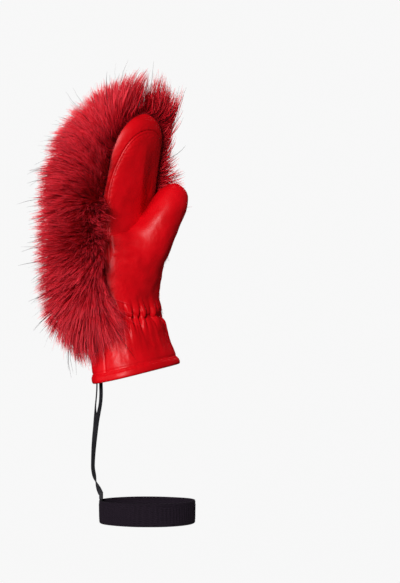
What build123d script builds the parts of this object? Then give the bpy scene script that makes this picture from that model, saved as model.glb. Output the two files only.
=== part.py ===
"""Right-hand ski mitten: leather palm and cuff, long-pile fur back, padded thumb, and a wristband on a leash.

Millimetres. The origin is the centre of the cuff's mouth. +Z runs to the fingertips, +Y out of the fur back,
-Y out of the palm and +X to the thumb's side. The mitten bows to the back and curls to the palm at both ends,
so its cross-sections stand square to a curved spine in the YZ plane.
"""

import math
import os

from build123d import *

os.makedirs("parts", exist_ok=True)

# driving dimensions of the hand form
BOW = 24.0  # how far the spine bows to the back
BOW_HEIGHT = 150.0  # where it bows most
FINGER_CURL = 0.0025  # curl of the spine above that, per mm
CUFF_CURL = BOW / BOW_HEIGHT**2  # and below it, so that the spine starts at the origin
CUFF_TOP = 50.0
ELASTIC_TOP = 61.0
KNUCKLES = 178.0
# height on the spine, half width, half thickness
FORM = [
    (-14, 53.5, 39.5),
    (0, 52, 38),
    (25, 48, 34.5),
    (55, 42.5, 30),
    (80, 44.5, 28),
    (112, 47, 27),
    (150, 48, 25),
    (190, 47, 24),
    (220, 43, 22.5),
    (243, 35, 19),
    (257, 24, 13.5),
    (264, 12, 8),
]
# height, centre in Y, half width, half thickness of the fur's pile
PILE = [
    (13, 12, 51, 43),
    (30, 16, 65, 56),
    (55, 19, 77, 67),
    (85, 21, 83, 73),
    (140, 22, 85, 74),
    (205, 20, 84, 73),
    (246, 18, 74, 64),
    (273, 14, 62, 51),
    (293, 8, 49, 40),
    (305, 4, 33, 27),
    (310, 3, 20, 16),
]

SMALLEST = 3.0  # half thickness at which a form's inner sections stop

# layers, each apart from the next by the gap
LEATHER = 1.4
PADDING = 5.0
LINING = 1.4
GAP = 0.15
PADDING_IN = LEATHER + GAP
LINING_IN = PADDING_IN + PADDING + GAP
HOLLOW_IN = LINING_IN + LINING
PALM_SEAM = -11.0  # the palm panel's seam, from the spine
FUR_SEAM = -4.0  # the fur's front seam, from the spine
HEM_HEIGHT = 8.5
HEM_PROUD = 1.2
CUFF_WALL = 3.2

# joints
FINGER_PIVOT = -26.0  # the knuckles' crease, on the palm's surface
FINGER_WEDGE = 12.0  # degrees left open between the hand and the fingers
JOINT_GAP = 0.35
THUMB_WEDGE = 12.0

# thumb: centre, half width, half thickness
THUMB = [
    ((9, 12, 98), 22, 18),
    ((13, 0, 124), 26, 22),
    ((19, -11, 148), 23.5, 21),
    ((27, -18.5, 168), 19.5, 18),
    ((33.5, -22.5, 182), 16.5, 15.5),
    ((37, -24.5, 190.5), 11, 10.5),
    ((38.5, -25.3, 194), 5, 5),
]
THUMB_CREASE = Vector(23, 1.0, 161)  # the crotch, where the thumb turns
THUMB_NORMAL = Vector(0.25, -0.45, 0.857)  # of the thumb's root plane
THUMB_AXIS = Vector(0.936, 0.339, -0.095)
THUMB_ACROSS = Vector(1, 0.35, 0)  # the long way of the thumb's ovals
THUMB_PADDING = 4.0
THUMB_SEAM_NORMAL = (0.9, 0.35, -0.15)  # of the plane between its two panels
THUMB_SEAM_ACROSS = (0.3, -0.35, 0.9)
THUMB_ROOM = 2.0  # the thumb stays this far off the hand's form

CUFF_SEAM_LEAN = 0.2  # the cuff's side seams lean to the back by this much

# leash and wristband
RIBBON = 6.0  # the ribbon's width
TAB = (9.0, 2.4, 14.0)
TAB_GAP = 1.7
TAB_ACROSS = (0.826, 0.563, 0)
BEND_SHARE = 0.45  # of the shorter run beside a corner, taken by the corner's bend
RIBBON_PATH = [
    (-27.6, 23.4, 8),
    (-28.3, 20.6, -10),
    (-31.2, 24.2, -32),
    (-33.5, 27.5, -58),
    (-34.6, 29.0, -82),
    (-34.0, 28.2, -105),
    (-30.5, 23.5, -123),
]
BAND_LENGTH = 97.0
BAND_DEPTH = 46.0
BAND_HEIGHT = 25.0
BAND_WALL = 2.2
BAND_TOP = -128.0
BAND_TURN = -55.0  # degrees, the band's long axis about Z from +X
JOIN = (4.2, 10.0)

# keeper hook
HOOK = (-47.8, 19, 40)
HOOK_SIZE = (7.6, 18.0)
HOOK_BAR = 1.2
HOOK_THICK = 1.0
HOOK_SLACK = 0.4
LOOP_RADIUS = 2.4
LOOP_BAR = 1.0
LOOP_WIDTH = 2.0
POCKET = (-51, 19, 34)  # the fur parts round the hook here
POCKET_SIZE = (15, 20, 30)


def spine(height):
    """The spine's place in Y and its slope at a height."""
    bend = CUFF_CURL if height < BOW_HEIGHT else FINGER_CURL
    away = height - BOW_HEIGHT
    return BOW - bend * away**2, -2 * bend * away


def square_to_spine(height, tilt=0.0, shift=0.0):
    """A plane square to the spine, tilted about X through a line shifted from it in Y."""
    y, slope = spine(height)
    lean = math.degrees(math.atan(slope))
    plane = Plane(origin=(0, y, height), x_dir=(1, 0, 0), z_dir=(0, slope, 1))
    line = plane.from_local_coords((0, shift, 0))
    turn = math.radians(lean + tilt)
    return Plane(origin=line, x_dir=(1, 0, 0), z_dir=(0, math.sin(turn), math.cos(turn)))


def lengthwise(low, high, shift):
    """A plane along the spine between two heights, shifted from it in Y and facing the back."""
    y0, y1 = spine(low)[0] + shift, spine(high)[0] + shift
    lean = (y1 - y0) / (high - low)
    return Plane(origin=(0, y0, low), x_dir=(1, 0, 0), z_dir=(0, 1, -lean))


def facing(origin, normal, across):
    """A plane with this normal, its x direction as near to across as it can be."""
    z_dir = Vector(*normal).normalized()
    across = Vector(*across)
    return Plane(origin=origin, x_dir=across - z_dir * across.dot(z_dir), z_dir=z_dir)


def form(inset=0.0, mode=Mode.ADD):
    """The hand form, its walls moved in by the inset, from below the mouth to the fingertip."""
    sections = []
    for height, wide, deep in FORM:
        if deep - inset > SMALLEST:
            with BuildSketch(square_to_spine(height)) as section:
                Ellipse(wide - inset, deep - inset)
            sections.append(section.sketch)
    loft(sections, mode=mode)


def pile(mode=Mode.ADD):
    """The whole outer shape of the fur's pile."""
    sections = []
    for height, y, wide, deep in PILE:
        with BuildSketch(Plane(origin=(0, y, height))) as section:
            Ellipse(wide, deep)
        sections.append(section.sketch)
    loft(sections, mode=mode)


def thumb_form(inset=0.0, mode=Mode.ADD):
    """The thumb, its walls moved in by the inset, from inside the hand to the tip."""
    centres = [Vector(*c) for c, _, _ in THUMB]
    sections = []
    for i, (_, wide, deep) in enumerate(THUMB):
        if deep - inset > SMALLEST:
            along = centres[min(i + 1, len(THUMB) - 1)] - centres[max(i - 1, 0)]
            with BuildSketch(facing(centres[i], along, THUMB_ACROSS)) as section:
                Ellipse(wide - inset, deep - inset)
            sections.append(section.sketch)
    loft(sections, mode=mode)


HAND_END = square_to_spine(KNUCKLES, FINGER_WEDGE / 2, FINGER_PIVOT)
FINGER_START = square_to_spine(KNUCKLES, -FINGER_WEDGE / 2, FINGER_PIVOT).offset(JOINT_GAP)
CUFF_END = square_to_spine(CUFF_TOP)
MOUTH = square_to_spine(0)
HEM_TOP = square_to_spine(HEM_HEIGHT)
HAND_PALM = lengthwise(CUFF_TOP, KNUCKLES, PALM_SEAM)
HAND_FUR = lengthwise(CUFF_TOP, KNUCKLES, FUR_SEAM)
FINGER_PALM = lengthwise(KNUCKLES, FORM[-1][0], PALM_SEAM)
FINGER_FUR = lengthwise(KNUCKLES, FORM[-1][0], FUR_SEAM)
THUMB_START = facing(THUMB_CREASE, THUMB_NORMAL, THUMB_AXIS)
GUSSET_END = THUMB_START.rotated((THUMB_WEDGE, 0, 0)).offset(-JOINT_GAP)


def between(low, high):
    """Keeps what is above one plane and below another."""
    split(bisect_by=low, keep=Keep.TOP)
    split(bisect_by=high, keep=Keep.BOTTOM)


def save(part, name, colour):
    part.label = name
    part.color = Color(*colour)
    export_step(part, f"parts/{name}.step")


RED = (0.72, 0.02, 0.06)
FUR_RED = (0.5, 0.03, 0.1)
BLACK = (0.06, 0.05, 0.07)
CREAM = (0.85, 0.82, 0.76)

# the hand's leather: the palm panel, with the thumb's hole, and the side band behind it
with BuildPart() as palm_panel:
    form()
    form(LEATHER, Mode.SUBTRACT)
    between(CUFF_END, HAND_END)
    split(bisect_by=HAND_PALM, keep=Keep.BOTTOM)
    thumb_form(LEATHER, Mode.SUBTRACT)
save(palm_panel.part, "palm_panel", RED)

for name, side in (("side_band_outer", Keep.BOTTOM), ("side_band_thumb_side", Keep.TOP)):
    with BuildPart() as side_band:
        form()
        form(LEATHER, Mode.SUBTRACT)
        between(CUFF_END, HAND_END)
        between(HAND_PALM.offset(GAP), HAND_FUR)
        thumb_form(LEATHER, Mode.SUBTRACT)
        split(bisect_by=Plane.YZ, keep=side)
    save(side_band.part, name, RED)

# the fingers' leather: the same two pieces, the side band closing over the fingertip
with BuildPart() as palm_panel_fingers:
    form()
    form(LEATHER, Mode.SUBTRACT)
    split(bisect_by=FINGER_START, keep=Keep.TOP)
    split(bisect_by=FINGER_PALM, keep=Keep.BOTTOM)
save(palm_panel_fingers.part, "palm_panel_fingers", RED)

with BuildPart() as side_band_fingers:
    form()
    form(LEATHER, Mode.SUBTRACT)
    split(bisect_by=FINGER_START, keep=Keep.TOP)
    between(FINGER_PALM.offset(GAP), FINGER_FUR)
save(side_band_fingers.part, "side_band_fingers", RED)

# the fur back: its knitted backing on the form and the whole depth of its pile
with BuildPart() as fur_back:
    pile()
    form(0, Mode.SUBTRACT)
    split(bisect_by=HAND_END, keep=Keep.BOTTOM)
    split(bisect_by=HAND_FUR.offset(GAP), keep=Keep.TOP)
    with Locations(POCKET):
        Box(*POCKET_SIZE, mode=Mode.SUBTRACT)
save(fur_back.part, "fur_back", FUR_RED)

with BuildPart() as fur_back_fingers:
    pile()
    form(0, Mode.SUBTRACT)
    split(bisect_by=FINGER_START, keep=Keep.TOP)
    split(bisect_by=FINGER_FUR.offset(GAP), keep=Keep.TOP)
save(fur_back_fingers.part, "fur_back_fingers", FUR_RED)

# padding and lining of the hand, open to the thumb
with BuildPart() as insulation_hand:
    form(PADDING_IN)
    form(PADDING_IN + PADDING, Mode.SUBTRACT)
    between(square_to_spine(ELASTIC_TOP).offset(GAP), HAND_END)
    thumb_form(PADDING_IN, Mode.SUBTRACT)
save(insulation_hand.part, "insulation_hand", CREAM)

with BuildPart() as lining_hand:
    form(LINING_IN)
    form(HOLLOW_IN, Mode.SUBTRACT)
    between(CUFF_END, HAND_END)
    thumb_form(LINING_IN, Mode.SUBTRACT)
save(lining_hand.part, "lining_hand", BLACK)

with BuildPart() as insulation_fingers:
    form(PADDING_IN)
    form(PADDING_IN + PADDING, Mode.SUBTRACT)
    split(bisect_by=FINGER_START, keep=Keep.TOP)
save(insulation_fingers.part, "insulation_fingers", CREAM)

with BuildPart() as lining_fingers:
    form(LINING_IN)
    form(HOLLOW_IN, Mode.SUBTRACT)
    split(bisect_by=FINGER_START, keep=Keep.TOP)
save(lining_fingers.part, "lining_fingers", BLACK)

# the thumb: a gusset sewn into the palm, and beyond its root plane the two leather panels, padding and lining
with BuildPart() as thumb_gusset:
    thumb_form()
    form(-GAP, Mode.SUBTRACT)
    thumb_form(PADDING_IN + PADDING, Mode.SUBTRACT)
    split(bisect_by=GUSSET_END, keep=Keep.BOTTOM)
save(thumb_gusset.part, "thumb_gusset", RED)

THUMB_SIDE = facing(THUMB[3][0], THUMB_SEAM_NORMAL, THUMB_SEAM_ACROSS)
for name, side in (("thumb_inner_panel", Keep.BOTTOM), ("thumb_outer_panel", Keep.TOP)):
    with BuildPart() as thumb_panel:
        thumb_form()
        thumb_form(LEATHER, Mode.SUBTRACT)
        form(-THUMB_ROOM, Mode.SUBTRACT)
        split(bisect_by=THUMB_START, keep=Keep.TOP)
        split(bisect_by=THUMB_SIDE.offset(GAP if side == Keep.TOP else 0), keep=side)
    save(thumb_panel.part, name, RED)

with BuildPart() as insulation_thumb:
    thumb_form(PADDING_IN)
    thumb_form(PADDING_IN + THUMB_PADDING, Mode.SUBTRACT)
    form(-THUMB_ROOM, Mode.SUBTRACT)
    split(bisect_by=THUMB_START, keep=Keep.TOP)
save(insulation_thumb.part, "insulation_thumb", CREAM)

with BuildPart() as lining_thumb:
    thumb_form(PADDING_IN + THUMB_PADDING + GAP)
    thumb_form(PADDING_IN + THUMB_PADDING + GAP + LINING, Mode.SUBTRACT)
    form(-THUMB_ROOM, Mode.SUBTRACT)
    split(bisect_by=THUMB_START, keep=Keep.TOP)
save(lining_thumb.part, "lining_thumb", BLACK)

# the wrist's elastic, between the leather and the lining
with BuildPart() as wrist_elastic:
    form(PADDING_IN)
    form(PADDING_IN + PADDING, Mode.SUBTRACT)
    between(CUFF_END.offset(GAP), square_to_spine(ELASTIC_TOP))
save(wrist_elastic.part, "wrist_elastic", CREAM)

# the cuff: two panels sewn at the sides, their lining and the hem that binds both
CUFF_SIDE = Plane(origin=(0, 0, 0), x_dir=(1, 0, 0), z_dir=(0, 1, -CUFF_SEAM_LEAN))
for name, side in (("cuff_palm_panel", Keep.BOTTOM), ("cuff_back_panel", Keep.TOP)):
    with BuildPart() as cuff_panel:
        form()
        form(LEATHER, Mode.SUBTRACT)
        between(HEM_TOP.offset(GAP), CUFF_END.offset(-GAP))
        split(bisect_by=CUFF_SIDE.offset(GAP if side == Keep.TOP else 0), keep=side)
    save(cuff_panel.part, name, RED)

with BuildPart() as cuff_lining:
    form(PADDING_IN)
    form(PADDING_IN + CUFF_WALL, Mode.SUBTRACT)
    between(HEM_TOP.offset(GAP), CUFF_END.offset(-GAP))
save(cuff_lining.part, "cuff_lining", BLACK)

with BuildPart() as hem_binding:
    form(-HEM_PROUD)
    form(PADDING_IN + CUFF_WALL, Mode.SUBTRACT)
    between(MOUTH, HEM_TOP)
save(hem_binding.part, "hem_binding", RED)

# the anchor tab inside the cuff, and the doubled ribbon that hangs from it
START = Vector(*RIBBON_PATH[0])
TAB_PLANE = facing(START, START - Vector(*RIBBON_PATH[1]), TAB_ACROSS)
with BuildPart() as anchor_tab:
    with BuildSketch(TAB_PLANE.offset(TAB_GAP)):
        Rectangle(TAB[0], TAB[1])
    extrude(amount=TAB[2])
save(anchor_tab.part, "anchor_tab", BLACK)

route = [Vector(*p) for p in RIBBON_PATH]
runs = [b - a for a, b in zip(route, route[1:])]
turns = [a.get_angle(b) for a, b in zip(runs, runs[1:])]
radii = [
    BEND_SHARE * min(a.length, b.length) / math.tan(math.radians(turn) / 2)
    for a, b, turn in zip(runs, runs[1:], turns)
]
with BuildPart() as leash_ribbon:
    with BuildLine():
        FilletPolyline(*route, radius=radii)
    with BuildSketch(Plane(origin=route[0], z_dir=runs[0])):
        Circle(RIBBON / 2)
    sweep()
save(leash_ribbon.part, "leash_ribbon", BLACK)

# the wristband stands on edge; its near end is under the ribbon's, where a sewn tab joins them
BAND_AXIS = Vector(1, 0, 0).rotate(Axis.Z, BAND_TURN)
BAND_END = Vector(RIBBON_PATH[-1][0], RIBBON_PATH[-1][1], BAND_TOP)
BAND_CENTRE = BAND_END + BAND_AXIS * (BAND_LENGTH / 2 - BAND_WALL / 2)
BAND_PLANE = Plane(origin=BAND_CENTRE, x_dir=BAND_AXIS, z_dir=(0, 0, 1)).offset(-BAND_HEIGHT)
with BuildPart() as wristband:
    with BuildSketch(BAND_PLANE):
        Ellipse(BAND_LENGTH / 2, BAND_DEPTH / 2)
        Ellipse(BAND_LENGTH / 2 - BAND_WALL, BAND_DEPTH / 2 - BAND_WALL, mode=Mode.SUBTRACT)
    extrude(amount=BAND_HEIGHT)
save(wristband.part, "wristband", BLACK)

JOIN_TOP = RIBBON_PATH[-1][2] - RIBBON / 2
with BuildPart() as band_join:
    with BuildSketch(Plane(origin=(BAND_END.X, BAND_END.Y, BAND_TOP + GAP), x_dir=BAND_AXIS)):
        Rectangle(*JOIN)
    extrude(amount=JOIN_TOP - BAND_TOP - GAP)
save(band_join.part, "band_join", BLACK)

# the keeper hook, which holds the pair together, hangs from a loop sewn on the cuff's side
LOOP_PLANE = Plane(origin=HOOK, z_dir=(0, 1, 0))
with BuildPart() as keeper_loop:
    with BuildSketch(LOOP_PLANE):
        Circle(LOOP_RADIUS + LOOP_BAR)
        Circle(LOOP_RADIUS, mode=Mode.SUBTRACT)
    extrude(amount=LOOP_WIDTH / 2, both=True)
save(keeper_loop.part, "keeper_loop", BLACK)

HOOK_TOP = HOOK[2] - LOOP_RADIUS + HOOK_SLACK + HOOK_BAR
HOOK_PLANE = Plane(origin=(HOOK[0], HOOK[1], HOOK_TOP - HOOK_SIZE[1] / 2), x_dir=(0, 0, 1), z_dir=(1, 0, 0))
with BuildPart() as keeper_hook:
    with BuildSketch(HOOK_PLANE):
        SlotOverall(HOOK_SIZE[1], HOOK_SIZE[0])
        SlotOverall(HOOK_SIZE[1] - 2 * HOOK_BAR, HOOK_SIZE[0] - 2 * HOOK_BAR, mode=Mode.SUBTRACT)
    extrude(amount=HOOK_THICK / 2, both=True)
save(keeper_hook.part, "keeper_hook", BLACK)
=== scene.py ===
import math

import bpy
import numpy as np
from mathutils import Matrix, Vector, noise
from mathutils.kdtree import KDTree


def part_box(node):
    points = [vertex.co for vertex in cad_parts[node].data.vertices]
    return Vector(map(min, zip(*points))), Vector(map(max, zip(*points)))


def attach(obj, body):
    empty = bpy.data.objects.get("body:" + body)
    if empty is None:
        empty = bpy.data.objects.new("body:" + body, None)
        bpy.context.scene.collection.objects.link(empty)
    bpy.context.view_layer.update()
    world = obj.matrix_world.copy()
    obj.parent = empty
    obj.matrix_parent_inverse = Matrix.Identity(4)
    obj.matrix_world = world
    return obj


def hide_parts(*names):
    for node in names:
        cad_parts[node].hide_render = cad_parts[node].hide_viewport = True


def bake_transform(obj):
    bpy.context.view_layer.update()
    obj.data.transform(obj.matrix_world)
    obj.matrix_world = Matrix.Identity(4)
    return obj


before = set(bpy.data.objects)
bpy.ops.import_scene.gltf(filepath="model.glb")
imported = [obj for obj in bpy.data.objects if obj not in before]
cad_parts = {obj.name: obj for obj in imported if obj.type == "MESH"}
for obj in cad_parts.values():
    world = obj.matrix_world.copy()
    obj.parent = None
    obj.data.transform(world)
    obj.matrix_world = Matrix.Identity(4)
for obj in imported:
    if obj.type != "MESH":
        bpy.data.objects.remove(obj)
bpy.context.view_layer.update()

MM = 0.001  # every length below is in millimetres until it becomes a mesh
SEED = 11
UP = np.array([0, 0, 1])

# ---- camera and light ----

AZIMUTH = math.radians(-55)
ELEVATION = math.radians(3)
DISTANCE = 1650.0
LENS = 99.0
RIGHT = np.array([math.cos(AZIMUTH), math.sin(AZIMUTH), 0.0])  # to the viewer's right
TOWARD = np.array([math.sin(AZIMUTH), -math.cos(AZIMUTH), 0.0])  # to the viewer
AIM = 65.0 * RIGHT + 85.0 * UP  # the mitten stands left of the picture's middle
LIT_PLACE = 110.0 * UP

scene = bpy.context.scene
scene.view_settings.view_transform = "Standard"


def look_at(obj, place, aim):
    obj.location = Vector(place) * MM
    obj.rotation_euler = (Vector(aim) - Vector(place)).to_track_quat("-Z", "Y").to_euler()


def add_camera():
    data = bpy.data.cameras.new("camera")
    data.lens = LENS
    camera = bpy.data.objects.new("camera", data)
    scene.collection.objects.link(camera)
    look_at(camera, AIM + DISTANCE * (TOWARD * math.cos(ELEVATION) + math.sin(ELEVATION) * UP), AIM)
    scene.camera = camera


def add_light(name, side, rise, near, size, power, shine=True):
    """A square soft box: how far it is to the viewer's right, above the origin and toward the viewer."""
    data = bpy.data.lights.new(name, "AREA")
    data.size = size * MM
    data.energy = power
    light = bpy.data.objects.new(name, data)
    light.visible_camera = False
    light.visible_glossy = shine
    scene.collection.objects.link(light)
    look_at(light, side * RIGHT + near * TOWARD + rise * UP, LIT_PLACE)


add_camera()

# ---- the leash's ribbon ----

RIBBON_WIDTH = 6.0
# control points of the route, close to the CAD tube's
RIBBON_PATH = [
    (-29.2, 26.2, 8),
    (-30.2, 24.4, -10),
    (-31.8, 25.6, -32),
    (-33.9, 28.2, -58),
    (-35.2, 29.9, -82),
    (-35.4, 30.4, -104),
    (-30.5, 23.5, -123),
]


def spline_points(route):
    """The points of a smooth NURBS curve that has the route's points as its control points."""
    curve = bpy.data.curves.new("route", "CURVE")
    curve.dimensions = "3D"
    curve.resolution_u = 24
    spline = curve.splines.new("NURBS")
    spline.points.add(len(route) - 1)
    for point, place in zip(spline.points, route):
        point.co = (*(Vector(place) * MM), 1.0)
    spline.order_u = 3
    spline.use_endpoint_u = True
    holder = bpy.data.objects.new("route", curve)
    scene.collection.objects.link(holder)
    mesh = bpy.data.meshes.new_from_object(holder)
    points = np.array([v.co for v in mesh.vertices])
    bpy.data.objects.remove(holder)
    bpy.data.meshes.remove(mesh)
    return points


# ---- mesh helpers ----


def link_mesh(name, points, loops, totals, material):
    """An object from arrays: points in millimetres, and faces as runs of point numbers, each totals long."""
    starts = np.concatenate([[0], np.cumsum(totals)[:-1]])
    mesh = bpy.data.meshes.new(name)
    mesh.vertices.add(len(points))
    mesh.vertices.foreach_set("co", (points * MM).astype(np.float32).ravel())
    mesh.loops.add(len(loops))
    mesh.loops.foreach_set("vertex_index", np.asarray(loops, dtype=np.int32))
    mesh.polygons.add(len(totals))
    mesh.polygons.foreach_set("loop_start", starts.astype(np.int32))
    mesh.polygons.foreach_set("loop_total", np.asarray(totals, dtype=np.int32))
    mesh.polygons.foreach_set("use_smooth", np.ones(len(totals), bool))
    mesh.update(calc_edges=True)
    mesh.validate()
    mesh.materials.append(material)
    obj = bpy.data.objects.new(name, mesh)
    scene.collection.objects.link(obj)
    return obj


def link_quads(name, points, quads, material):
    return link_mesh(name, points.reshape(-1, 3), quads.ravel(), np.full(len(quads), 4), material)


def grid_faces(rows, columns, round_columns=False, round_rows=False, first=0):
    """Quads of a grid of points, closed on itself either way if asked."""
    r = np.arange(rows if round_rows else rows - 1)
    c = np.arange(columns if round_columns else columns - 1)
    r, c = np.meshgrid(r, c, indexing="ij")
    r2, c2 = (r + 1) % rows, (c + 1) % columns
    quads = np.stack([r * columns + c, r * columns + c2, r2 * columns + c2, r2 * columns + c], axis=-1)
    return quads.reshape(-1, 4) + first


def tube_faces(rows, columns, first, step):
    """A closed tube's faces, the two ends last, and how long each is. A step of -1 turns them over."""
    quads = grid_faces(rows, columns, True, first=first)[:, ::step]
    ring = np.arange(columns) + first
    ends = [*ring[::-step], *(ring[::step] + (rows - 1) * columns)]
    return quads.ravel().tolist() + ends, [4] * len(quads) + [columns, columns]


def grid_object(name, points, material, round_columns=False, round_rows=False, flip=False):
    """A surface through a grid of points, of shape rows, columns, 3."""
    quads = grid_faces(*points.shape[:2], round_columns, round_rows)
    return link_quads(name, points, quads[:, ::-1] if flip else quads, material)


def smoothstep(low, high, value):
    t = np.clip((value - low) / (high - low), 0, 1)
    return t * t * (3 - 2 * t)


def unit(vectors):
    return vectors / np.maximum(np.linalg.norm(vectors, axis=-1, keepdims=True), 1e-6)


def bell(away, width):
    """1 at no distance, falling to nothing over about twice the width."""
    return np.exp(-(away / width) ** 2)


def signed_power(value, power):
    """A power that keeps the value's sign. On a sine and cosine it squares a circle off."""
    return np.sign(value) * np.abs(value) ** power


def around(count):
    """Angles spread evenly over a full turn."""
    return np.linspace(0, 2 * np.pi, count, endpoint=False)


def noise_at(points, size, seed=0.0):
    """Smooth noise between about -1 and 1 at points, its lumps about size across."""
    flat = np.asarray(points, float).reshape(-1, 3) / size + seed
    values = np.array([noise.noise(p) for p in flat.tolist()])
    return values.reshape(np.asarray(points).shape[:-1])


def make_tree(points):
    tree = KDTree(len(points))
    for i, p in enumerate(points):
        tree.insert(p, i)
    tree.balance()
    return tree


def nearest(tree, points):
    """The number of the tree's point that is nearest to each point."""
    return np.array([tree.find(p)[1] for p in points.tolist()])


# ---- the hand form: oval sections square to a curved spine, as in the CAD, but fuller at the fingertip ----

BOW, BOW_HEIGHT, FINGER_CURL = 24.0, 150.0, 0.0025
CUFF_CURL = BOW / BOW_HEIGHT**2
# height on the spine, half width, half thickness
FORM = np.array([
    (-14, 53.5, 39.5),
    (0, 52, 38),
    (25, 48, 34.5),
    (55, 42.5, 30),
    (80, 44.5, 28),
    (112, 47, 27),
    (150, 48, 25),
    (190, 47, 24),
    (220, 43, 22.5),
    (241, 37.5, 20.5),
    (254, 31, 17),
    (262, 21, 12),
    (266, 9, 5.5),
    (266.8, 0.4, 0.3),
])
SQUARE = 2.3  # the ovals' power: 2 is an ellipse, more is fuller at the corners


def spine(z):
    bend = np.where(z < BOW_HEIGHT, CUFF_CURL, FINGER_CURL)
    away = z - BOW_HEIGHT
    return BOW - bend * away**2, -2 * bend * away


def catmull_rom(table, steps):
    """A smooth curve through the rows of a table, with so many steps between each two."""
    ends = np.vstack([2 * table[0] - table[1], table, 2 * table[-1] - table[-2]])
    out = []
    for p0, p1, p2, p3 in zip(ends, ends[1:], ends[2:], ends[3:]):
        t = (np.arange(steps) / steps)[:, None]
        out.append(0.5 * (2 * p1 + (p2 - p0) * t + (2 * p0 - 5 * p1 + 4 * p2 - p3) * t**2
                          + (3 * p1 - p0 - 3 * p2 + p3) * t**3))
    return np.vstack(out + [table[-1:]])


FORM_CURVE = catmull_rom(FORM, 24)


def form_size(z):
    """Half width and half thickness of the form at a height."""
    return np.interp(z, FORM_CURVE[:, 0], FORM_CURVE[:, 1]), np.interp(z, FORM_CURVE[:, 0], FORM_CURVE[:, 2])


def on_form(z, angle, out=0.0):
    """Points on the form, moved out. The angle is 0 at the thumb's side and pi / 2 at the back."""
    z, angle, out = np.broadcast_arrays(np.asarray(z, float), angle, out)
    y, slope = spine(z)
    a, b = form_size(z)
    size = np.hypot(1, slope)
    c, s = np.cos(angle), np.sin(angle)
    across = signed_power(c, 2 / SQUARE) * np.maximum(a + out, 0)
    back = signed_power(s, 2 / SQUARE) * np.maximum(b + out, 0)
    return np.stack([across, y + back / size, z - back * slope / size], axis=-1)


# height, and how far to the palm from the spine the palm's seam runs
SEAM = np.array([(100, 17.5), (130, 17), (150, 16), (190, 14.6), (215, 14.4), (240, 15), (262, 16)])


def seam_depth(z):
    """The seam's depth. Near the fingertip the form is thinner than this, and the seam closes in an arch."""
    return np.interp(z, SEAM[:, 0], SEAM[:, 1])


def seam_distance(z, angle):
    """How far a point of the form is from the palm seam, about, positive on the palm's side."""
    return -(signed_power(np.sin(angle), 2 / SQUARE) * form_size(z)[1] + seam_depth(z)) * 1.15


def round_edge(distance, radius):
    """From 0 at an edge to 1 a radius inside it, as a quarter circle."""
    t = np.clip(distance / radius, 0, 1)
    return np.sqrt(np.clip(1 - (1 - t) ** 2, 0, 1))


def rolled_edge(distance, radius, depth):
    """How far a panel's surface drops as it turns in at a seam."""
    return depth * (round_edge(distance, radius) - 1)


# gathers at the wrist
ELASTIC_LOW, ELASTIC_HIGH = 49.0, 61.0
ELASTIC_MID = (ELASTIC_LOW + ELASTIC_HIGH) / 2
PLEATS = 30
DEEPEST = -4.3  # the pleats' valleys stop here, above the elastic and the padding


def pleats(z, angle):
    """The gathered leather's height: narrow pleats at the elastic that open into long soft folds."""
    ring = np.stack([np.cos(angle) * 2.3, np.sin(angle) * 2.3, np.zeros_like(angle)], axis=-1)
    wander = noise_at(ring, 0.7, 3.1) * 1.6 + 0.5 * noise_at(ring, 0.22, 5.5)
    narrow = np.abs(np.sin(angle * PLEATS / 2 + wander * 1.4 + 0.02 * (z - ELASTIC_MID) * wander))
    broad = np.sin(angle * 8 + wander * 1.9 + 0.7)
    wide = np.sin(angle * 13 + 2.1 * wander)
    varied = np.clip(0.7 + 0.8 * noise_at(ring, 0.2, 8.7), 0.2, 1.3)
    near = bell(z - ELASTIC_MID, 7.5)
    above = bell(np.maximum(z - ELASTIC_HIGH, 0), 13.0) * smoothstep(52, 60, z)
    below = bell(np.maximum(ELASTIC_LOW - z, 0), 12.0) * smoothstep(58, 50, z)
    down = bell(np.maximum(ELASTIC_LOW - z, 0), 26.0) * smoothstep(58, 46, z)
    waist = -2.6 * bell(z - ELASTIC_MID, 5.0)
    puff = 1.1 * bell(z - ELASTIC_HIGH - 9, 8.0) + 0.6 * bell(z - ELASTIC_LOW + 8, 8.0)
    height = waist + puff + (narrow**0.8 - 0.6) * varied * (6.6 * near + 3.0 * above + 2.2 * below)
    return np.maximum(height, DEEPEST) + 1.5 * broad * down + 0.5 * wide * (below + above)


def hang(points):
    """The cuff's mouth hangs a little lower on the side toward the viewer."""
    toward, right = points @ TOWARD, points @ RIGHT
    drop = -(0.12 * toward + 0.035 * right) * smoothstep(48, 2, points[..., 2])
    return points + drop[..., None] * UP


# ---- materials ----


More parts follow.
